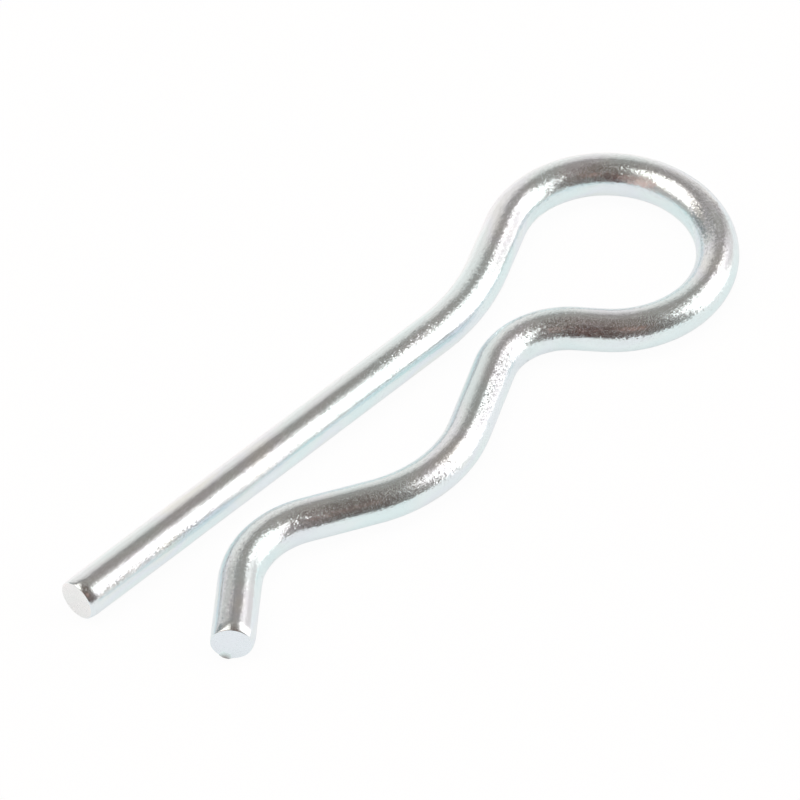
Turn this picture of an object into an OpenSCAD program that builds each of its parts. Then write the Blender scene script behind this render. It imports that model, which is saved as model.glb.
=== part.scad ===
// Hitch clip bent from one length of round spring wire.
// It lies flat: the straight leg runs along X, the loop is at the +X end
// and the bent leg is on the -Y side.
// The origin is on the straight leg's axis, at the centre of the shaft that the clip locks.

/* [Wire] */
// Diameter of the wire
wire_d = 4; // [3:0.1:5]
// Edge break at both cut ends
end_break = 0.25; // [0.1:0.05:0.8]
// How much a bend thins the wire, on its diameter
bend_thinning = 0.02; // [0.02:0.01:0.1]

/* [Fit] */
// Diameter of the shaft that the bent leg hugs
shaft_d = 20; // [18:0.5:26]
// How far the relaxed clip closes below the shaft's diameter
shaft_grip = 0.1; // [0:0.05:0.6]
// Gap between the legs at the neck, behind the shaft
neck_gap = 2.15; // [1:0.05:3]
// Gap between the legs at the mouth, where the shaft snaps in
mouth_gap = 2.7; // [1:0.1:4]

/* [Straight leg] */
// Length of the straight leg, from its cut end to the shoulder bend
leg_len = 45.2; // [32:0.1:80]

/* [Loop] */
// Inside diameter of the loop
loop_d = 16; // [14.5:0.5:22]
// Angle by which the shoulder bend lifts the wire off the leg's axis
shoulder_angle = 26.1; // [18:0.1:29]
// Radius of the shoulder bend, at the wire's centre line
shoulder_r = 21.3; // [12:0.1:32]
// Straight wire between the shoulder bend and the loop
ramp_len = 5.7; // [2:0.1:8]
// Angle to the leg's axis at which the wire comes back out of the loop
return_angle = 50.4; // [42:0.1:55]

/* [Bent leg] */
// Radius of the neck bend, at the wire's centre line
neck_r = 7.2; // [5:0.1:9]
// Angle to the leg's axis at which the wire dips around the shaft
dip_angle = 27; // [22:0.1:36]
// Radius of the belly bend that hugs the shaft, at the wire's centre line
belly_r = 13.6; // [8:0.1:20]
// Angle to the leg's axis at which the wire rises past the shaft
rise_angle = 26.2; // [20:0.1:36]
// Radius of the tip bend, at the wire's centre line
tip_r = 8.6; // [5:0.1:14]
// Angle to the leg's axis at which the tip flares out
flare_angle = 39.7; // [25:0.1:60]
// Straight wire from the tip bend to the tip's cut end
tip_len = 7.2; // [3:0.1:14]

/* [Hidden] */
zinc = [0.78, 0.80, 0.82];
wire_sides = 48;
turn_steps = 120;
bend_lap = 0.2;
wire_r = wire_d / 2;
bent_wire_d = wire_d - bend_thinning;
loop_r = loop_d / 2 + wire_r;
half_turn = 180;

// Distance of the bent leg's centre line from the leg's axis at its three turning points
neck_off = neck_gap + wire_d;
belly_off = (shaft_d - shaft_grip) / 2 + wire_r;
mouth_off = mouth_gap + wire_d;

// Distance of the centre line from the leg's axis where the wire comes out of the loop
shoulder_rise = shoulder_r * (1 - cos(shoulder_angle)) + ramp_len * sin(shoulder_angle);
return_off = loop_r * (cos(shoulder_angle) + cos(return_angle)) - shoulder_rise;

// Straight wire that each turning point of the bent leg leaves between its bends
return_len = (return_off - neck_off - neck_r * (1 - cos(return_angle))) / sin(return_angle);
dip_len = (belly_off - neck_off - (neck_r + belly_r) * (1 - cos(dip_angle))) / sin(dip_angle);
rise_len = (belly_off - mouth_off - (belly_r + tip_r) * (1 - cos(rise_angle))) / sin(rise_angle);

// Distance along the leg's axis from its cut end to the loop, and from the loop back to the shaft
loop_x = leg_len + shoulder_r * sin(shoulder_angle) + ramp_len * cos(shoulder_angle);
loop_back = loop_r * (sin(return_angle) - sin(shoulder_angle)) + return_len * cos(return_angle);
neck_back = neck_r * (sin(return_angle) + sin(dip_angle));
belly_back = dip_len * cos(dip_angle) + belly_r * sin(dip_angle);
shaft_x = loop_x - loop_back - neck_back - belly_back;

// Straight wire along +X; what follows starts at its end
module run(len) {
  rotate([0, 90, 0])
    cylinder(d = wire_d, h = len, $fn = wire_sides);
  translate([len, 0, 0])
    children();
}

// The straight leg, with its cut end at the start; what follows starts at its other end
module leg_run(len) {
  rotate([0, 90, 0])
    rotate_extrude($fn = wire_sides)
      polygon([
        [0, 0],
        [wire_r - end_break, 0],
        [wire_r, end_break],
        [wire_r, len],
        [0, len]
      ]);
  translate([len, 0, 0])
    children();
}

// The tip, with its cut end at the far end
module tip_run(len) {
  rotate([0, 90, 0])
    rotate_extrude($fn = wire_sides)
      polygon([
        [0, 0],
        [wire_r, 0],
        [wire_r, len - end_break],
        [wire_r - end_break, len],
        [0, len]
      ]);
}

// A bend to the left of the wire, or to its right for a negative angle.
// It laps into the straight wire on both sides; what follows starts where it ends.
module bend(radius, angle) {
  side = sign(angle);
  turn = abs(angle);
  lap = bend_lap / radius * half_turn / PI;
  first = side > 0 ? -half_turn / 2 : half_turn / 2 - turn;
  translate([0, side * radius, 0]) {
    rotate_extrude(angle = turn + 2 * lap, start = first - lap, $fn = turn_steps)
      translate([radius, 0])
        circle(d = bent_wire_d, $fn = wire_sides);
    rotate([0, 0, angle])
      translate([0, -side * radius, 0])
        children();
  }
}

module clip_wire() {
  color(zinc)
    translate([-shaft_x, 0, 0])
      leg_run(leg_len)
      bend(shoulder_r, shoulder_angle)
      run(ramp_len)
      bend(loop_r, -(shoulder_angle + half_turn + return_angle))
      run(return_len)
      bend(neck_r, return_angle + dip_angle)
      run(dip_len)
      bend(belly_r, -(dip_angle + rise_angle))
      run(rise_len)
      bend(tip_r, rise_angle + flare_angle)
      tip_run(tip_len);
}

clip_wire();
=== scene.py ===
import math

import bmesh
import bpy
from mathutils import Matrix, Quaternion, Vector
from mathutils.kdtree import KDTree


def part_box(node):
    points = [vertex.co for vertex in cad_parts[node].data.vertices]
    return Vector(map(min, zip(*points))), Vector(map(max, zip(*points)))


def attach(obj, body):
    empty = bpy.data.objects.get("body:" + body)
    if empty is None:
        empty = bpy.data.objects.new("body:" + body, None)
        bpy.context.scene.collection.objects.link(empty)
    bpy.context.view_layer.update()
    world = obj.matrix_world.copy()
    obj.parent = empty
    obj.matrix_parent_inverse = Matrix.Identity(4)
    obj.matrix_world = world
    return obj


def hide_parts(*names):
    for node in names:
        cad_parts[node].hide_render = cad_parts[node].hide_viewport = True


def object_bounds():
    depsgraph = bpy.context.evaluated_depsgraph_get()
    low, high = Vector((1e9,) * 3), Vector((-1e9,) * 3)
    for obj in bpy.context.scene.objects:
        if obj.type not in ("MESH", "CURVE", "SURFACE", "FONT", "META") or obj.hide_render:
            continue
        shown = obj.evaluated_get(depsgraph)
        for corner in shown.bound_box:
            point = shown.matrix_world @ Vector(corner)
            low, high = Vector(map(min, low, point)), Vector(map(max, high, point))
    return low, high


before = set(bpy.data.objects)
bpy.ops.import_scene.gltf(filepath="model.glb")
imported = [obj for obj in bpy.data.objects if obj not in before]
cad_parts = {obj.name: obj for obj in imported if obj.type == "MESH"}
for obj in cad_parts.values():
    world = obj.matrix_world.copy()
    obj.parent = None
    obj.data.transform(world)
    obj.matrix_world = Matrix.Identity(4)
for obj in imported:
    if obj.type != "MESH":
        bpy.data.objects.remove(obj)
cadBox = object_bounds()
mm = 0.001  # the frame is in metres, the wire's sizes below are in millimetres
print("frame loaded")


# selection helpers

def deselectAll():
    bpy.ops.object.select_all(action="DESELECT")
    bpy.context.view_layer.objects.active = None


def selectVerts(piece, test):
    mesh = bmesh.from_edit_mesh(piece.data)
    for vert in mesh.verts:
        vert.select = test(vert.co)
    mesh.select_flush_mode()
    bmesh.update_edit_mesh(piece.data)


def selectFaces(piece, test):
    mesh = bmesh.from_edit_mesh(piece.data)
    for item in [*mesh.verts, *mesh.edges, *mesh.faces]:
        item.select = False
    for face in mesh.faces:
        if test(face.calc_center_median(), face.normal):
            face.select_set(True)
    bmesh.update_edit_mesh(piece.data)


# the wire, one length bent in a plane: sizes in mm and degrees, as a wire bender would set them
clipWire = {
    "wire": 4.0,
    "legLength": 45.2,
    "shoulderRadius": 21.3, "shoulderAngle": 26.1,
    "rampLength": 5.7,
    "loopInside": 16.0, "returnAngle": 50.4,
    "neckRadius": 7.2, "neckGap": 2.15, "dipAngle": 27.0,
    "shaft": 20.0, "shaftGrip": 0.1, "bellyRadius": 13.6, "riseAngle": 26.2,
    "mouthGap": 2.7, "tipRadius": 8.6, "flareAngle": 39.7,
    "tipLength": 7.2,
    "sides": 96,        # faces around the wire
    "ringPitch": 0.32,  # distance between rings along the wire
    "endLength": 1.2, "endRings": 6,  # closer rings at each end, for the cut's shape
    "fewestSteps": 4,      # rings in the shortest bend
    "mergeWithin": 0.0005,
}


def bendTable(w):
    sin = {name: math.sin(math.radians(w[name])) for name in w if name.endswith("Angle")}
    cos = {name: math.cos(math.radians(w[name])) for name in w if name.endswith("Angle")}
    loopRadius = (w["loopInside"] + w["wire"]) / 2
    neckOff = w["neckGap"] + w["wire"]
    bellyOff = (w["shaft"] - w["shaftGrip"] + w["wire"]) / 2
    mouthOff = w["mouthGap"] + w["wire"]
    rise = w["shoulderRadius"] * (1 - cos["shoulderAngle"]) + w["rampLength"] * sin["shoulderAngle"]
    returnOff = loopRadius * (cos["shoulderAngle"] + cos["returnAngle"]) - rise
    returnDrop = w["neckRadius"] * (1 - cos["returnAngle"])
    dipDrop = (w["neckRadius"] + w["bellyRadius"]) * (1 - cos["dipAngle"])
    riseDrop = (w["bellyRadius"] + w["tipRadius"]) * (1 - cos["riseAngle"])
    return [  # (straight run, bend radius, bend angle to the left)
        (w["legLength"] - w["endLength"], w["shoulderRadius"], w["shoulderAngle"]),
        (w["rampLength"], loopRadius, -(w["shoulderAngle"] + 180 + w["returnAngle"])),
        ((returnOff - neckOff - returnDrop) / sin["returnAngle"],
         w["neckRadius"], w["returnAngle"] + w["dipAngle"]),
        ((bellyOff - neckOff - dipDrop) / sin["dipAngle"],
         w["bellyRadius"], -(w["dipAngle"] + w["riseAngle"])),
        ((bellyOff - mouthOff - riseDrop) / sin["riseAngle"],
         w["tipRadius"], w["riseAngle"] + w["flareAngle"]),
        (w["tipLength"] - w["endLength"], None, None),
    ]


def growWire(w):
    deselectAll()
    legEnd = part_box("clip_wire")[0][0]  # the straight leg's cut end is the lowest x of the frame
    bpy.ops.mesh.primitive_circle_add(
        vertices=w["sides"], radius=w["wire"] / 2 * mm, fill_type="NOTHING",
        location=(legEnd, 0, 0), rotation=(0, math.pi / 2, 0))
    wire = bpy.context.object
    wire.name = "bent_wire"
    wire.data.name = "bent_wire"
    bpy.ops.object.transform_apply(location=True, rotation=True, scale=True)
    bpy.ops.object.mode_set(mode="EDIT")
    bpy.ops.mesh.select_all(action="SELECT")
    place = Vector((legEnd, 0, 0))
    heading = 0.0
    along = 0.0
    line = []  # centre line: place, heading, distance along the wire, curvature

    def drawStraight(length, steps):
        nonlocal place, along
        ahead = Vector((math.cos(heading), math.sin(heading), 0))
        pitch = length * mm / steps
        for step in range(steps):
            line.append((place, heading, along, 0.0))
            bpy.ops.mesh.extrude_region_move(TRANSFORM_OT_translate={"value": ahead * pitch})
            place = place + ahead * pitch
            along += pitch

    drawStraight(w["endLength"], w["endRings"])
    for run, bendRadius, angle in bendTable(w):
        drawStraight(run, max(1, round(run / w["ringPitch"])))
        if bendRadius is None:
            break
        turn = math.radians(angle)
        side = math.copysign(1, turn)
        left = Vector((-math.sin(heading), math.cos(heading), 0))
        centre = place + left * (side * bendRadius * mm)
        steps = max(w["fewestSteps"], round(abs(turn) * bendRadius / w["ringPitch"]))
        bpy.ops.mesh.spin(steps=steps, angle=-turn, center=centre, axis=(0, 0, 1))
        arm = place - centre
        for step in range(steps):
            spun = Matrix.Rotation(turn * step / steps, 3, "Z") @ arm
            line.append((centre + spun, heading + turn * step / steps, along, side / (bendRadius * mm)))
            along += abs(turn) / steps * bendRadius * mm
        place = centre + Matrix.Rotation(turn, 3, "Z") @ arm
        heading += turn
    drawStraight(w["endLength"], w["endRings"])
    line.append((place, heading, along, 0.0))
    bpy.ops.mesh.select_mode(type="VERT")
    bpy.ops.mesh.select_all(action="SELECT")
    bpy.ops.mesh.remove_doubles(threshold=w["mergeWithin"] * mm)
    bpy.ops.object.mode_set(mode="OBJECT")
    return wire, line


wire, centreLine = growWire(clipWire)
legEnd = centreLine[0][0]
tipEnd = centreLine[-1][0]
legOut = Vector((-1, 0, 0))
tipOut = Vector((math.cos(centreLine[-1][1]), math.sin(centreLine[-1][1]), 0))
wireEnds = [(legEnd, legOut), (tipEnd, tipOut)]


def acrossEnd(out):
    return Vector((-out.y, out.x, 0))  # the side of an end that faces away from the other leg


print("wire bent:", len(wire.data.vertices), "points,", round(centreLine[-1][2] / mm, 1), "mm long")


# cut ends: the shear draws the near side down towards the cut and leaves a small burr at the far side; mm
cutEnds = {
    "rollLength": 1.0, "rollDrop": 0.24, "rollLift": 0.55,  # lift: how far the rolled side is turned upwards
    "rimRadius": 0.11, "rimSegments": 4,
    "crownInset": 0.55, "crownRise": 0.016, "crownRings": 2,
    "burrTurn": 0.36,  # how far the burr is turned to the side
    "burrWidth": 1.5, "burrHeight": 0.34, "burrLength": 0.16,
    "burrLifts": (0.15, 0.40, 0.65),  # shares of the burr that each lift takes hold of
    "cutReach": 0.001, "ringReach": 0.01, "faceReach": 0.08,  # how near a point on a cut or ring has to be
    "flat": 0.999, "nearlyFlat": 0.97,  # how squarely a face of the cut looks out
}


def nearCut(co, end, out, depth):
    return abs((co - end).dot(out)) < depth * mm and (co - end).length < clipWire["wire"] * mm


def rollEnds(c):
    # each ring is scaled about the point opposite the rolled side, more and more towards the cut
    bpy.ops.object.mode_set(mode="EDIT")
    bpy.ops.mesh.select_mode(type="VERT")
    pitch = clipWire["endLength"] / clipWire["endRings"]
    for end, out in wireEnds:
        rolledSide = (acrossEnd(out) + Vector((0, 0, c["rollLift"]))).normalized()
        stillPoint = rolledSide * (-clipWire["wire"] / 2 * mm)
        for ring in range(clipWire["endRings"]):
            nearness = max(0, 1 - ring * pitch / c["rollLength"])
            shrink = 1 - c["rollDrop"] * nearness ** 2 / clipWire["wire"]
            ringCentre = end - out * (ring * pitch * mm)
            selectVerts(wire, lambda co: nearCut(co, ringCentre, out, c["ringReach"]))
            bpy.ops.transform.resize(value=(shrink, shrink, shrink), center_override=ringCentre + stillPoint)
    bpy.ops.object.mode_set(mode="OBJECT")


def closeEnds(c):
    bpy.ops.object.mode_set(mode="EDIT")
    for end, out in wireEnds:
        bpy.ops.mesh.select_mode(type="VERT")
        selectVerts(wire, lambda co: nearCut(co, end, out, c["cutReach"]))
        bpy.ops.mesh.edge_face_add()
        bpy.ops.mesh.select_mode(type="EDGE")
        bpy.ops.mesh.region_to_loop()
        bpy.ops.mesh.bevel(
            offset=c["rimRadius"] * mm, segments=c["rimSegments"], profile=0.5, affect="EDGES")
    bpy.ops.mesh.select_all(action="SELECT")
    bpy.ops.mesh.normals_make_consistent(inside=False)
    bpy.ops.mesh.select_mode(type="FACE")
    for end, out in wireEnds:
        selectFaces(wire, lambda co, normal: nearCut(co, end, out, c["ringReach"])
                    and normal.dot(out) > c["flat"])
        for ring in range(c["crownRings"]):
            bpy.ops.mesh.inset(thickness=c["crownInset"] * mm, depth=c["crownRise"] * mm)
    bpy.ops.object.mode_set(mode="OBJECT")


def burrShare(co, c):
    # 1 at the middle of the burr under the tip's cut, 0 outside it
    down = (acrossEnd(tipOut) * -c["burrTurn"] + Vector((0, 0, -1))).normalized()
    off = co - tipEnd - down * (clipWire["wire"] / 2 * mm)
    sideways = off.dot(down.cross(tipOut)) / (c["burrWidth"] / 2 * mm)
    upwards = off.dot(down) / (c["burrHeight"] * mm)
    inwards = off.dot(tipOut) / (c["burrHeight"] * mm)
    return max(0, 1 - sideways ** 2 - upwards ** 2 - inwards ** 2)


def raiseBurr(c):
    # pulled out in a few lifts, so that it thins towards its lip
    bpy.ops.object.mode_set(mode="EDIT")
    bpy.ops.mesh.select_mode(type="VERT")
    shares = [burrShare(vert.co, c) for vert in bmesh.from_edit_mesh(wire.data).verts]
    for lift in c["burrLifts"]:
        mesh = bmesh.from_edit_mesh(wire.data)
        for vert, share in zip(mesh.verts, shares):
            vert.select = share > lift
        mesh.select_flush_mode()
        bpy.ops.transform.translate(value=tipOut * (c["burrLength"] / len(c["burrLifts"]) * mm))
    bpy.ops.object.mode_set(mode="OBJECT")
    return shares


wire.select_set(True)
bpy.context.view_layer.objects.active = wire
rollEnds(cutEnds)
closeEnds(cutEnds)
burrShares = raiseBurr(cutEnds)
print("ends cut:", len(wire.data.polygons), "faces")


# unevenness of drawn and bent wire, in mm
smoothAngle = 50  # edges sharper than this stay sharp in shading
wireWaves = {
    "long": {"size": 2.6, "depth": 0.020},
    "short": {"size": 0.9, "depth": 0.009},
}


def waveWire(waves):
    for name, wave in waves.items():
        texture = bpy.data.textures.new(name + "Waves", "CLOUDS")
        texture.noise_scale = wave["size"] * mm
        texture.noise_depth = 1
        uneven = wire.modifiers.new(name + "Waves", "DISPLACE")
        uneven.texture = texture
        uneven.texture_coords = "LOCAL"
        uneven.strength = wave["depth"] * mm
        uneven.mid_level = 1.0  # inwards only, so the wire keeps its gauge
        bpy.ops.object.modifier_apply(modifier=uneven.name)
    bpy.ops.object.shade_smooth_by_angle(angle=math.radians(smoothAngle))


waveWire(wireWaves)


# where feed rolls and bending pins rubbed the plating: mm along the wire, degrees around it, sizes in mm
pinScuffs = [
    {"along": 8.0, "turn": 146, "length": 16.0, "width": 0.8, "share": 0.35},
    {"along": 41.5, "turn": 97, "length": 9.0, "width": 1.2, "share": 0.5},
    {"along": 50.0, "turn": 105, "length": 28.0, "width": 2.6, "share": 0.25},
    {"along": 120.8, "turn": 58, "length": 12.0, "width": 1.3, "share": 1.0},
    {"along": 131.6, "turn": 40, "length": 4.5, "width": 1.8, "share": 0.5},
    {"along": 144.8, "turn": 52, "length": 5.0, "width": 1.6, "share": 0.5},
]


def scuffShare(along, side, up):
    share = 0
    for scuff in pinScuffs:
        lengthWise = (along / mm - scuff["along"]) / (scuff["length"] / 2)
        offTurn = math.atan2(up, side) - math.radians(scuff["turn"])
        crossWise = offTurn * clipWire["wire"] / scuff["width"]
        share += scuff["share"] * max(0, 1 - lengthWise ** 4 - crossWise ** 2)
    return share


# the wire's own coordinates, as if it were pulled straight again, for the finish
def markWire(smoothOver):
    tree = KDTree(len(centreLine))
    for i, (place, heading, along, curvature) in enumerate(centreLine):
        tree.insert(place, i)
    tree.balance()
    evened = []  # curvature eased over a few rings, because a bend doesn't start at once
    for i in range(len(centreLine)):
        near = centreLine[max(0, i - smoothOver):i + smoothOver + 1]
        evened.append(sum(point[3] for point in near) / len(near))
    wire.data.attributes.new("drawn", "FLOAT_VECTOR", "POINT")
    wire.data.attributes.new("bent", "FLOAT", "POINT")
    wire.data.attributes.new("scuffed", "FLOAT", "POINT")
    # the next attribute carries painted shade for the burr under the tip's cut end
    wire.data.attributes.new("burrShade", "FLOAT", "POINT")
    drawn = wire.data.attributes["drawn"]  # fetched once all are there, because a new one moves the others
    bent = wire.data.attributes["bent"]
    scuffed = wire.data.attributes["scuffed"]
    burrShade = wire.data.attributes["burrShade"]
    for vert in wire.data.vertices:
        place, i, distance = tree.find(vert.co)
        place, heading, along, curvature = centreLine[i]
        off = vert.co - place
        ahead = off.x * math.cos(heading) + off.y * math.sin(heading)
        side = off.y * math.cos(heading) - off.x * math.sin(heading)
        drawn.data[vert.index].vector = (along + ahead, side, off.z)
        bent.data[vert.index].value = abs(evened[i]) * clipWire["wire"] / 2 * mm  # strain outside the bend
        scuffed.data[vert.index].value = scuffShare(along + ahead, side, off.z)
        burrShade.data[vert.index].value = burrShares[vert.index]  # painted shade: darkens the burr at the foot of the tip's cut end, where it meets the floor


markWire(smoothOver=5)
print("wire waved and marked")

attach(wire, "root")
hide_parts("clip_wire")


# finishes
def addNode(tree, kind, **settings):
    node = tree.nodes.new(kind)
    for name, value in settings.items():
        setattr(node, name, value)
    return node


def link(tree, source, target):
    tree.links.new(source, target)


def newGroup(name, inputs, outputs):
    group = bpy.data.node_groups.new(name, "ShaderNodeTree")
    for socket, kind in inputs:
        group.interface.new_socket(socket, in_out="INPUT", socket_type=kind)
    for socket, kind in outputs:
        group.interface.new_socket(socket, in_out="OUTPUT", socket_type=kind)
    return group, group.nodes.new("NodeGroupInput"), group.nodes.new("NodeGroupOutput")


def scaledPlace(tree, place, lengthWise, crossWise):
    # place divided by a pattern's size along the wire and across it
    size = addNode(tree, "ShaderNodeCombineXYZ")
    link(tree, lengthWise, size.inputs["X"])
    link(tree, crossWise, size.inputs["Y"])
    link(tree, crossWise, size.inputs["Z"])
    scaled = addNode(tree, "ShaderNodeVectorMath", operation="DIVIDE")
    link(tree, place, scaled.inputs[0])
    link(tree, size.outputs[0], scaled.inputs[1])
    return scaled.outputs[0]


lineNoise = {"detail": 3.0, "roughness": 0.6}


def drawnLinesGroup():
    # fine lines that the drawing die leaves along the wire
    group, entry, leave = newGroup(
        "drawnLines",
        [("Place", "NodeSocketVector"), ("Length", "NodeSocketFloat"), ("Width", "NodeSocketFloat")],
        [("Height", "NodeSocketFloat")])
    place = scaledPlace(group, entry.outputs["Place"], entry.outputs["Length"], entry.outputs["Width"])
    noise = addNode(group, "ShaderNodeTexNoise")
    noise.inputs["Scale"].default_value = 1.0
    noise.inputs["Detail"].default_value = lineNoise["detail"]
    noise.inputs["Roughness"].default_value = lineNoise["roughness"]
    link(group, place, noise.inputs["Vector"])
    link(group, noise.outputs["Fac"], leave.inputs["Height"])
    return group


crystalShape = {
    "leastSteep": 0.12,                  # share of their tilt that all crystals have
    "frostFrom": 0.35, "frostTo": 0.80,  # from a crystal's middle to its edge
}


def platingGrainGroup():
    # the zinc's fine crystals, each tilted a little in its own way, and the frost between them
    group, entry, leave = newGroup(
        "platingGrain",
        [("Place", "NodeSocketVector"), ("Length", "NodeSocketFloat"), ("Width", "NodeSocketFloat")],
        [("Height", "NodeSocketFloat"), ("Frost", "NodeSocketFloat")])
    place = scaledPlace(group, entry.outputs["Place"], entry.outputs["Length"], entry.outputs["Width"])
    crystals = addNode(group, "ShaderNodeTexVoronoi", feature="F1")
    crystals.inputs["Scale"].default_value = 1.0
    link(group, place, crystals.inputs["Vector"])
    tilt = addNode(group, "ShaderNodeVectorMath", operation="SUBTRACT")
    tilt.inputs[1].default_value = (0.5, 0.5, 0.5)
    link(group, crystals.outputs["Color"], tilt.inputs[0])
    fromMiddle = addNode(group, "ShaderNodeVectorMath", operation="SUBTRACT")
    link(group, place, fromMiddle.inputs[0])
    link(group, crystals.outputs["Position"], fromMiddle.inputs[1])
    facet = addNode(group, "ShaderNodeVectorMath", operation="DOT_PRODUCT")
    link(group, tilt.outputs[0], facet.inputs[0])
    link(group, fromMiddle.outputs[0], facet.inputs[1])
    steepness = addNode(group, "ShaderNodeVectorMath", operation="DOT_PRODUCT")  # few crystals stand steep
    link(group, tilt.outputs[0], steepness.inputs[0])
    link(group, tilt.outputs[0], steepness.inputs[1])
    raised = addNode(group, "ShaderNodeMath", operation="ADD")
    raised.inputs[1].default_value = crystalShape["leastSteep"]
    link(group, steepness.outputs["Value"], raised.inputs[0])
    height = addNode(group, "ShaderNodeMath", operation="MULTIPLY")
    link(group, facet.outputs["Value"], height.inputs[0])
    link(group, raised.outputs[0], height.inputs[1])
    link(group, height.outputs[0], leave.inputs["Height"])
    frost = addNode(group, "ShaderNodeMapRange", interpolation_type="SMOOTHSTEP")
    frost.inputs["From Min"].default_value = crystalShape["frostFrom"]
    frost.inputs["From Max"].default_value = crystalShape["frostTo"]
    link(group, crystals.outputs["Distance"], frost.inputs["Value"])
    link(group, frost.outputs[0], leave.inputs["Frost"])
    return group


clearFilm = {
    "cyan": (0.34, (0.795, 0.930, 0.940, 1.0)),  # where in the drift, and the tone there
    "pale": (0.48, (0.834, 0.932, 0.940, 1.0)),
    "lilac": (0.60, (0.840, 0.908, 0.948, 1.0)),
    "straw": (0.74, (0.870, 0.930, 0.912, 1.0)),
    "driftDetail": 1.0,
    "hazeScale": 1.7, "hazeDetail": 4.0, "hazeRoughness": 0.65,
}


def passivationGroup():
    # the clear passivation over zinc: drifts from cyan to lilac and straw, with a faint haze
    group, entry, leave = newGroup(
        "passivation",
        [("Place", "NodeSocketVector"), ("Length", "NodeSocketFloat"), ("Width", "NodeSocketFloat")],
        [("Colour", "NodeSocketColor"), ("Haze", "NodeSocketFloat")])
    place = scaledPlace(group, entry.outputs["Place"], entry.outputs["Length"], entry.outputs["Width"])
    drift = addNode(group, "ShaderNodeTexNoise")
    drift.inputs["Scale"].default_value = 1.0
    drift.inputs["Detail"].default_value = clearFilm["driftDetail"]
    link(group, place, drift.inputs["Vector"])
    ramp = addNode(group, "ShaderNodeValToRGB")
    stops = ramp.color_ramp.elements
    for stop, tone in ((stops[0], "cyan"), (stops[1], "straw")):
        stop.position = clearFilm[tone][0]
        stop.color = clearFilm[tone][1]
    for tone in ("pale", "lilac"):
        at, colour = clearFilm[tone]
        stops.new(at).color = colour
    link(group, drift.outputs["Fac"], ramp.inputs["Fac"])
    link(group, ramp.outputs["Color"], leave.inputs["Colour"])
    haze = addNode(group, "ShaderNodeTexNoise")
    haze.inputs["Scale"].default_value = clearFilm["hazeScale"]
    haze.inputs["Detail"].default_value = clearFilm["hazeDetail"]
    haze.inputs["Roughness"].default_value = clearFilm["hazeRoughness"]
    link(group, place, haze.inputs["Vector"])
    link(group, haze.outputs["Fac"], leave.inputs["Haze"])
    return group


drawnLines = drawnLinesGroup()
platingGrain = platingGrainGroup()
passivation = passivationGroup()


def placeGroup(tree, group, place, length, width):
    node = addNode(tree, "ShaderNodeGroup", node_tree=group)
    node.inputs["Length"].default_value = length * mm
    node.inputs["Width"].default_value = width * mm
    link(tree, place, node.inputs["Place"])
    return node


def wireAttribute(tree, name):
    return addNode(tree, "ShaderNodeAttribute", attribute_name=name).outputs


def addBump(tree, height, depth, before=None):
    bump = addNode(tree, "ShaderNodeBump")
    bump.inputs["Strength"].default_value = 1.0
    bump.inputs["Distance"].default_value = depth * mm
    link(tree, height, bump.inputs["Height"])
    if before:
        link(tree, before, bump.inputs["Normal"])
    return bump.outputs["Normal"]


hazeSpan = (0.30, 0.70)  # the part of the haze that goes from smooth to hazy


def hazyRoughness(tree, haze, frost, finish):
    spread = addNode(tree, "ShaderNodeMapRange")
    spread.inputs["From Min"].default_value = hazeSpan[0]
    spread.inputs["From Max"].default_value = hazeSpan[1]
    spread.inputs["To Min"].default_value = finish["smooth"]
    spread.inputs["To Max"].default_value = finish["hazy"]
    link(tree, haze, spread.inputs["Value"])
    frosted = addNode(tree, "ShaderNodeMath", operation="MULTIPLY_ADD")
    frosted.inputs[1].default_value = finish["frost"]
    link(tree, frost, frosted.inputs[0])
    link(tree, spread.outputs[0], frosted.inputs[2])
    return frosted.outputs[0]


# bright zinc over drawn spring wire; sizes in mm
brightZinc = {
    "lineLength": 1.1, "lineWidth": 0.15, "lineDepth": 0.0075,
    "grainLength": 0.125, "grainWidth": 0.11, "grainDepth": 0.016,
    "bentGrain": 6.0, "scuffGrain": 6.0,  # how much a bend and a scuff open the grain
    "driftLength": 7.0, "driftWidth": 3.0,
    "smooth": 0.09, "hazy": 0.15, "frost": 0.05,
    # painted shade: the dark brown colour below stands for the shadowed spot under the tip's cut end
    "burrShadeColour": (0.26, 0.215, 0.20, 1.0),
}


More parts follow.
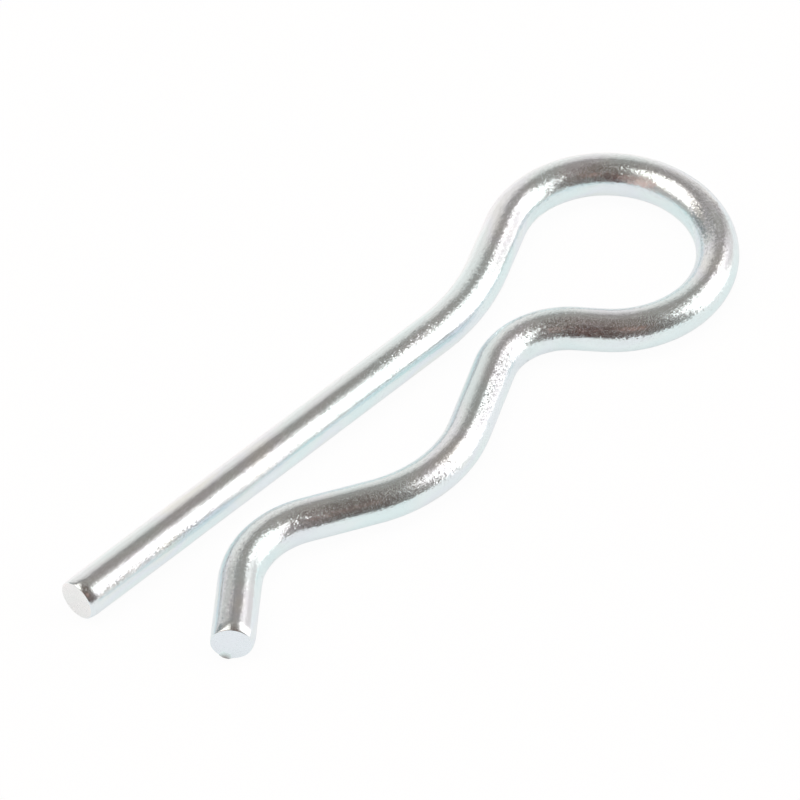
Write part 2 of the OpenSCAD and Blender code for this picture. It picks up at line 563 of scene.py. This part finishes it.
def zincMaterial(z):
    material = bpy.data.materials.new("brightZinc")
    material.use_nodes = True
    tree = material.node_tree
    shader = tree.nodes["Principled BSDF"]
    shader.inputs["Metallic"].default_value = 1.0
    drawn = wireAttribute(tree, "drawn")["Vector"]
    film = placeGroup(tree, passivation, drawn, z["driftLength"], z["driftWidth"])
    grain = placeGroup(tree, platingGrain, drawn, z["grainLength"], z["grainWidth"])
    lines = placeGroup(tree, drawnLines, drawn, z["lineLength"], z["lineWidth"])
    # painted shade: the burr under the tip's cut end is darkened in the base colour
    burrShaded = addNode(tree, "ShaderNodeMix", data_type="RGBA")
    burrShaded.inputs["B"].default_value = z["burrShadeColour"]
    link(tree, wireAttribute(tree, "burrShade")["Fac"], burrShaded.inputs["Factor"])
    link(tree, film.outputs["Colour"], burrShaded.inputs["A"])
    link(tree, burrShaded.outputs["Result"], shader.inputs["Base Color"])
    roughness = hazyRoughness(tree, film.outputs["Haze"], grain.outputs["Frost"], z)
    link(tree, roughness, shader.inputs["Roughness"])
    # bends and scuffs open the grain up
    bent = addNode(tree, "ShaderNodeMath", operation="MULTIPLY_ADD")
    bent.inputs[1].default_value = z["bentGrain"]
    bent.inputs[2].default_value = 1.0
    link(tree, wireAttribute(tree, "bent")["Fac"], bent.inputs[0])
    opened = addNode(tree, "ShaderNodeMath", operation="MULTIPLY_ADD")
    opened.inputs[1].default_value = z["scuffGrain"]
    link(tree, wireAttribute(tree, "scuffed")["Fac"], opened.inputs[0])
    link(tree, bent.outputs[0], opened.inputs[2])
    height = addNode(tree, "ShaderNodeMath", operation="MULTIPLY")
    link(tree, grain.outputs["Height"], height.inputs[0])
    link(tree, opened.outputs[0], height.inputs[1])
    normal = addBump(tree, lines.outputs["Height"], z["lineDepth"])
    normal = addBump(tree, height.outputs[0], z["grainDepth"], normal)
    link(tree, normal, shader.inputs["Normal"])
    return material


# the sheared faces, plated with the rest; the shear's lines stand upright across them
shearedEnd = {
    "lineLength": 2.4, "lineWidth": 0.16, "lineDepth": 0.003,
    "grainLength": 0.30, "grainWidth": 0.30, "grainDepth": 0.006,
    "driftLength": 3.0, "driftWidth": 2.0,
    "smooth": 0.18, "hazy": 0.28, "frost": 0.06,
    "legWhite": (0.94, 0.93, 0.92, 1.0), "tipWhite": (0.85, 0.91, 0.965, 1.0),
    "whiteShare": 0.75,
}


def shearedMaterial(s):
    material = bpy.data.materials.new("shearedEnd")
    material.use_nodes = True
    tree = material.node_tree
    shader = tree.nodes["Principled BSDF"]
    shader.inputs["Metallic"].default_value = 1.0
    drawn = wireAttribute(tree, "drawn")["Vector"]
    upright = addNode(tree, "ShaderNodeMapping")  # turns the lines' direction from along the wire to upright
    upright.inputs["Rotation"].default_value = (0, math.pi / 2, 0)
    link(tree, drawn, upright.inputs["Vector"])
    film = placeGroup(tree, passivation, drawn, s["driftLength"], s["driftWidth"])
    grain = placeGroup(tree, platingGrain, drawn, s["grainLength"], s["grainWidth"])
    lines = placeGroup(tree, drawnLines, upright.outputs[0], s["lineLength"], s["lineWidth"])
    whiter = addNode(tree, "ShaderNodeMix", data_type="RGBA")
    whiter.inputs["Factor"].default_value = s["whiteShare"]
    white = addNode(tree, "ShaderNodeMix", data_type="RGBA")  # the bath left the tip's end cooler in tone
    white.inputs["A"].default_value = s["legWhite"]
    white.inputs["B"].default_value = s["tipWhite"]
    along = addNode(tree, "ShaderNodeSeparateXYZ")
    link(tree, drawn, along.inputs[0])
    atTip = addNode(tree, "ShaderNodeMapRange")
    atTip.inputs["From Max"].default_value = centreLine[-1][2]
    link(tree, along.outputs["X"], atTip.inputs["Value"])
    link(tree, atTip.outputs[0], white.inputs["Factor"])
    link(tree, white.outputs["Result"], whiter.inputs["B"])
    link(tree, film.outputs["Colour"], whiter.inputs["A"])
    link(tree, whiter.outputs["Result"], shader.inputs["Base Color"])
    roughness = hazyRoughness(tree, film.outputs["Haze"], grain.outputs["Frost"], s)
    link(tree, roughness, shader.inputs["Roughness"])
    normal = addBump(tree, lines.outputs["Height"], s["lineDepth"])
    normal = addBump(tree, grain.outputs["Height"], s["grainDepth"], normal)
    link(tree, normal, shader.inputs["Normal"])
    return material


def plateWire(c):
    wire.data.materials.append(zincMaterial(brightZinc))
    wire.data.materials.append(shearedMaterial(shearedEnd))
    bpy.ops.object.mode_set(mode="EDIT")
    bpy.ops.mesh.select_mode(type="FACE")
    for end, out in wireEnds:
        selectFaces(wire, lambda co, normal: nearCut(co, end, out, c["faceReach"])
                    and normal.dot(out) > c["nearlyFlat"])
        wire.active_material_index = 1
        bpy.ops.object.material_slot_assign()
    bpy.ops.object.mode_set(mode="OBJECT")


plateWire(cutEnds)
print("zinc plated")


# studio: floor, room, soft boxes and boards, all placed by where they stand around the clip
studio = {
    "floorSize": 12.0,
    "white": (1.0, 1.0, 1.0, 1.0),
    "floorGlow": 0.95, "mirrorGlow": 0.75,  # share of the floor's white that no shadow takes, also in mirrors
    "mirrorLevel": 0.89, "roomLevel": 0.93,  # how bright the metal sees the floor, and the room
    "cardNear": 0.004, "cardSize": 0.3, "cardLift": 0.00002,  # card on the floor behind the straight leg
    "cardColour": (1.04, 0.96, 0.94, 1.0),
    "fillHeight": 1.5, "fillSize": 1.2, "fillPower": 8.0,
    "roomRadius": 4.5, "roomSides": 64,
    "roomLow": (0.450, 0.428, 0.412, 1.0), "roomTop": (0.332, 0.286, 0.266, 1.0),
    "sweepAngle": 2.0, "sweepFade": 0.02,  # the white sweep ends this far above the floor
    "ceiling": 0.9,                        # share of the room's height where it is darkest
    "farBoard": 3.0, "boardStep": 0.12,  # each board stands in front of the one before it
    "secondDepth": 1.5,                  # ray depth between first and second reflections
}
# azimuth 0 is the -Y side, elevation is above the floor, sizes are half angles, all in degrees;
# soft is the share of the width and height over which a board fades out
studioBoards = [
    {"name": "leftSoftbox", "azimuth": -134.5, "elevation": 52, "roll": 18, "halfWide": 26.5, "halfHigh": 34,
     "soft": (0.24, 0.24), "colour": (1.94, 1.74, 1.64)},
    {"name": "rightSoftbox", "azimuth": 59.5, "elevation": 19.5, "roll": 0.5, "halfWide": 37,
     "halfHigh": 45.5, "soft": (0.21, 0.24), "colour": (1.92, 1.74, 1.71)},
    {"name": "paleWall", "azimuth": 145, "elevation": -5, "roll": 29, "halfWide": 48, "halfHigh": 54,
     "soft": (0.27, 0.42), "colour": (0.97, 0.89, 0.865)},
    {"name": "beam", "azimuth": 163, "elevation": 47.5, "roll": -8, "halfWide": 27, "halfHigh": 5,
     "soft": (0.48, 0.15), "colour": (0.255, 0.235, 0.232)},
    {"name": "doorway", "azimuth": 101.5, "elevation": 23, "roll": -10, "halfWide": 11.5, "halfHigh": 24.5,
     "soft": (0.38, 0.47), "colour": (0.345, 0.285, 0.278)},
    {"name": "greenStand", "azimuth": -163.5, "elevation": 12.5, "roll": 46, "halfWide": 10.5, "halfHigh": 28,
     "soft": (0.34, 0.46), "colour": (0.182, 0.214, 0.217)},
    {"name": "warmBoard", "azimuth": -82.5, "elevation": 20, "roll": 15, "halfWide": 18, "halfHigh": 47,
     "soft": (0.47, 0.47), "colour": (0.775, 0.535, 0.475)},
    {"name": "darkCorner", "azimuth": -44, "elevation": 31, "roll": -10, "halfWide": 27, "halfHigh": 36,
     "soft": (0.42, 0.15), "colour": (0.070, 0.036, 0.030)},
    {"name": "brickPillar", "azimuth": -62, "elevation": 35, "roll": 10, "halfWide": 9, "halfHigh": 22,
     "soft": (0.45, 0.40), "colour": (0.335, 0.195, 0.170)},
    {"name": "brownWall", "azimuth": -15, "elevation": 72.5, "roll": -5.5, "halfWide": 23.5, "halfHigh": 46,
     "soft": (0.39, 0.47), "colour": (0.165, 0.118, 0.104)},
    {"name": "darkStand", "azimuth": -13.5, "elevation": 29.5, "roll": 6, "halfWide": 40.5, "halfHigh": 29.5,
     "soft": (0.47, 0.13), "colour": (0.160, 0.122, 0.112)},
    {"name": "darkPost", "azimuth": -13, "elevation": 2, "roll": 0, "halfWide": 9, "halfHigh": 14,
     "soft": (0.45, 0.45), "colour": (0.155, 0.140, 0.138)},
    {"name": "redCrate", "azimuth": -21.5, "elevation": 45, "roll": -1, "halfWide": 14, "halfHigh": 17,
     "soft": (0.47, 0.43), "colour": (0.392, 0.238, 0.205)},
    {"name": "lampPole", "azimuth": 83, "elevation": 10, "roll": 0, "halfWide": 20.5, "halfHigh": 37,
     "soft": (0.36, 0.45), "colour": (0.81, 0.724, 0.716)},
    # two flats that only second reflections meet
    {"name": "backFlat", "azimuth": -178, "elevation": 38, "roll": 0, "halfWide": 60, "halfHigh": 42,
     "soft": (0.30, 0.30), "colour": (0.99, 0.94, 0.97), "second": True},
    {"name": "frontFlat", "azimuth": 0, "elevation": 38, "roll": 0, "halfWide": 60, "halfHigh": 42,
     "soft": (0.30, 0.30), "colour": (0.84, 0.74, 0.74), "second": True},
]


def aimed(azimuth, elevation):
    a = math.radians(azimuth)
    e = math.radians(elevation)
    return Vector((math.sin(a) * math.cos(e), -math.cos(a) * math.cos(e), math.sin(e)))


def glowShare(tree, s):
    # how much of the floor is glow: most of it for the camera, less for glossy and transmission rays
    path = addNode(tree, "ShaderNodeLightPath")
    seen = addNode(tree, "ShaderNodeMath", operation="MULTIPLY")
    seen.inputs[1].default_value = s["floorGlow"]
    link(tree, path.outputs["Is Camera Ray"], seen.inputs[0])
    mirror = addNode(tree, "ShaderNodeMath", operation="MAXIMUM")
    link(tree, path.outputs["Is Glossy Ray"], mirror.inputs[0])
    link(tree, path.outputs["Is Transmission Ray"], mirror.inputs[1])
    share = addNode(tree, "ShaderNodeMath", operation="MULTIPLY_ADD")
    share.inputs[1].default_value = s["mirrorGlow"]
    link(tree, mirror.outputs[0], share.inputs[0])
    link(tree, seen.outputs[0], share.inputs[2])
    return share.outputs[0]


def bareMaterial(name):
    material = bpy.data.materials.new(name)
    material.use_nodes = True
    material.node_tree.nodes.clear()
    return material, material.node_tree


def layFloor(s):
    deselectAll()
    bpy.ops.mesh.primitive_plane_add(size=s["floorSize"], location=(0, 0, cadBox[0][2]))
    floor = bpy.context.object
    floor.name = "floor"
    material, tree = bareMaterial("floorWhite")
    paper = addNode(tree, "ShaderNodeBsdfDiffuse")
    paper.inputs["Color"].default_value = s["white"]
    glow = addNode(tree, "ShaderNodeEmission")
    path = addNode(tree, "ShaderNodeLightPath")
    level = addNode(tree, "ShaderNodeMapRange")
    level.inputs["To Min"].default_value = s["mirrorLevel"]
    link(tree, path.outputs["Is Camera Ray"], level.inputs["Value"])
    link(tree, level.outputs[0], glow.inputs["Strength"])
    mix = addNode(tree, "ShaderNodeMixShader")
    link(tree, glowShare(tree, s), mix.inputs["Fac"])
    link(tree, paper.outputs[0], mix.inputs[1])
    link(tree, glow.outputs[0], mix.inputs[2])
    out = addNode(tree, "ShaderNodeOutputMaterial")
    link(tree, mix.outputs[0], out.inputs["Surface"])
    floor.data.materials.append(material)


def layCard(s):
    # lies on the floor and is only there for the reflections
    deselectAll()
    middle = (0, s["cardNear"] + s["cardSize"] / 2, cadBox[0][2] + s["cardLift"])
    bpy.ops.mesh.primitive_plane_add(size=s["cardSize"], location=middle)
    card = bpy.context.object
    card.name = "backCard"
    material, tree = bareMaterial("cardWhite")
    glow = addNode(tree, "ShaderNodeEmission")
    glow.inputs["Color"].default_value = s["cardColour"]
    out = addNode(tree, "ShaderNodeOutputMaterial")
    link(tree, glow.outputs[0], out.inputs["Surface"])
    material.cycles.emission_sampling = "NONE"
    card.data.materials.append(material)
    card.visible_camera = False
    card.visible_diffuse = False
    card.visible_shadow = False


def hangFill(s):
    # soft light from above that the metal doesn't mirror
    bpy.ops.object.light_add(type="AREA", location=(0, 0, s["fillHeight"]))
    fill = bpy.context.object
    fill.name = "fill"
    fill.data.size = s["fillSize"]
    fill.data.energy = s["fillPower"]
    fill.visible_glossy = False


def roomMaterial(s):
    # white sweep at the foot, grey walls that darken towards the ceiling
    material, tree = bareMaterial("roomGrey")
    place = addNode(tree, "ShaderNodeTexCoord")
    split = addNode(tree, "ShaderNodeSeparateXYZ")
    link(tree, place.outputs["Object"], split.inputs[0])
    ramp = addNode(tree, "ShaderNodeValToRGB")
    sweepTop = math.sin(math.radians(s["sweepAngle"]))
    stops = ramp.color_ramp.elements
    stops[0].position = sweepTop
    stops[0].color = s["white"]
    stops[1].position = s["ceiling"]
    stops[1].color = s["roomTop"]
    stops.new(sweepTop + s["sweepFade"]).color = s["roomLow"]
    height = addNode(tree, "ShaderNodeMath", operation="DIVIDE")
    height.inputs[1].default_value = s["roomRadius"]
    link(tree, split.outputs["Z"], height.inputs[0])
    link(tree, height.outputs[0], ramp.inputs["Fac"])
    glow = addNode(tree, "ShaderNodeEmission")
    glow.inputs["Strength"].default_value = s["roomLevel"]
    link(tree, ramp.outputs["Color"], glow.inputs["Color"])
    out = addNode(tree, "ShaderNodeOutputMaterial")
    link(tree, glow.outputs[0], out.inputs["Surface"])
    material.cycles.emission_sampling = "NONE"
    return material


def raiseRoom(s):
    # only reflections and shadows see the room
    deselectAll()
    bpy.ops.mesh.primitive_uv_sphere_add(
        segments=s["roomSides"], ring_count=s["roomSides"], radius=s["roomRadius"])
    room = bpy.context.object
    room.name = "room"
    room.data.materials.append(roomMaterial(s))
    room.visible_camera = False


def softEdgeGroup():
    # mask of a board that fades towards its four edges, from its own UV map
    group, entry, leave = newGroup(
        "softEdge",
        [("Soft Wide", "NodeSocketFloat"), ("Soft High", "NodeSocketFloat")],
        [("Mask", "NodeSocketFloat")])
    uv = addNode(group, "ShaderNodeTexCoord")
    split = addNode(group, "ShaderNodeSeparateXYZ")
    link(group, uv.outputs["UV"], split.inputs[0])
    both = addNode(group, "ShaderNodeMath", operation="MULTIPLY")
    for i, (axis, soft) in enumerate((("X", "Soft Wide"), ("Y", "Soft High"))):
        fromEdge = addNode(group, "ShaderNodeMath", operation="PINGPONG")
        fromEdge.inputs[1].default_value = 0.5
        link(group, split.outputs[axis], fromEdge.inputs[0])
        fade = addNode(group, "ShaderNodeMapRange", interpolation_type="SMOOTHSTEP")
        link(group, fromEdge.outputs[0], fade.inputs["Value"])
        link(group, entry.outputs[soft], fade.inputs["From Max"])
        link(group, fade.outputs[0], both.inputs[i])
    link(group, both.outputs[0], leave.inputs["Mask"])
    return group


def boardMaterial(board, softEdge, s):
    material = bpy.data.materials.new(board["name"])
    material.use_nodes = True
    tree = material.node_tree
    shader = tree.nodes["Principled BSDF"]
    shader.inputs["Base Color"].default_value = (0.0, 0.0, 0.0, 1.0)
    shader.inputs["Specular IOR Level"].default_value = 0.0
    shader.inputs["Emission Color"].default_value = (*board["colour"], 1.0)
    shader.inputs["Emission Strength"].default_value = s["roomLevel"]
    edge = addNode(tree, "ShaderNodeGroup", node_tree=softEdge)
    edge.inputs["Soft Wide"].default_value = board["soft"][0]
    edge.inputs["Soft High"].default_value = board["soft"][1]
    shown = edge.outputs["Mask"]
    if "second" in board:
        path = addNode(tree, "ShaderNodeLightPath")
        deep = addNode(tree, "ShaderNodeMath", operation="GREATER_THAN")
        deep.inputs[1].default_value = s["secondDepth"]
        link(tree, path.outputs["Ray Depth"], deep.inputs[0])
        both = addNode(tree, "ShaderNodeMath", operation="MULTIPLY")
        link(tree, shown, both.inputs[0])
        link(tree, deep.outputs[0], both.inputs[1])
        shown = both.outputs[0]
        material.cycles.emission_sampling = "NONE"
    link(tree, shown, shader.inputs["Alpha"])
    return material


def standBoard(board, distance, softEdge, s):
    deselectAll()
    toBoard = aimed(board["azimuth"], board["elevation"])
    bpy.ops.mesh.primitive_plane_add(size=2.0, location=toBoard * distance)
    sheet = bpy.context.object
    sheet.name = board["name"]
    rolled = Quaternion((0, 0, 1), math.radians(board["roll"]))
    sheet.rotation_euler = (toBoard.to_track_quat("Z", "Y") @ rolled).to_euler()
    sheet.scale = (math.tan(math.radians(board["halfWide"])) * distance,
                   math.tan(math.radians(board["halfHigh"])) * distance, 1)
    bpy.ops.object.transform_apply(location=True, rotation=True, scale=True)
    sheet.data.materials.append(boardMaterial(board, softEdge, s))
    sheet.visible_camera = False
    sheet.visible_diffuse = "second" not in board
    sheet.visible_shadow = "second" not in board


def lightStudio(s):
    world = bpy.data.worlds.new("studioWhite")
    bpy.context.scene.world = world
    world.use_nodes = True
    world.node_tree.nodes["Background"].inputs["Color"].default_value = s["white"]
    layFloor(s)
    layCard(s)
    hangFill(s)
    raiseRoom(s)
    softEdge = softEdgeGroup()
    for i, board in enumerate(studioBoards):
        standBoard(board, s["farBoard"] - i * s["boardStep"], softEdge, s)


lightStudio(studio)
print("studio lit with", len(studioBoards), "boards")


# camera, from the photograph's viewing angle
photoCamera = {
    "azimuth": -46.45, "elevation": 47.11, "roll": 0.617,
    "target": (4.353, -3.51, 0.0),  # mm
    "distance": 661.36,             # mm
    "lens": 329.87, "sensor": 36.0,
    "clip": (0.01, 20.0),           # m
}


def setCamera(c):
    data = bpy.data.cameras.new("photoCamera")
    data.lens = c["lens"]
    data.sensor_width = c["sensor"]
    data.clip_start = c["clip"][0]
    data.clip_end = c["clip"][1]
    camera = bpy.data.objects.new("photoCamera", data)
    bpy.context.collection.objects.link(camera)
    back = aimed(c["azimuth"], c["elevation"])
    camera.location = Vector(c["target"]) * mm + back * (c["distance"] * mm)
    level = back.to_track_quat("Z", "Y").to_matrix()
    camera.rotation_euler = (level @ Matrix.Rotation(math.radians(c["roll"]), 3, "Z")).to_euler()
    bpy.context.scene.camera = camera


setCamera(photoCamera)
bpy.context.scene.view_settings.view_transform = "Standard"
print("camera set")
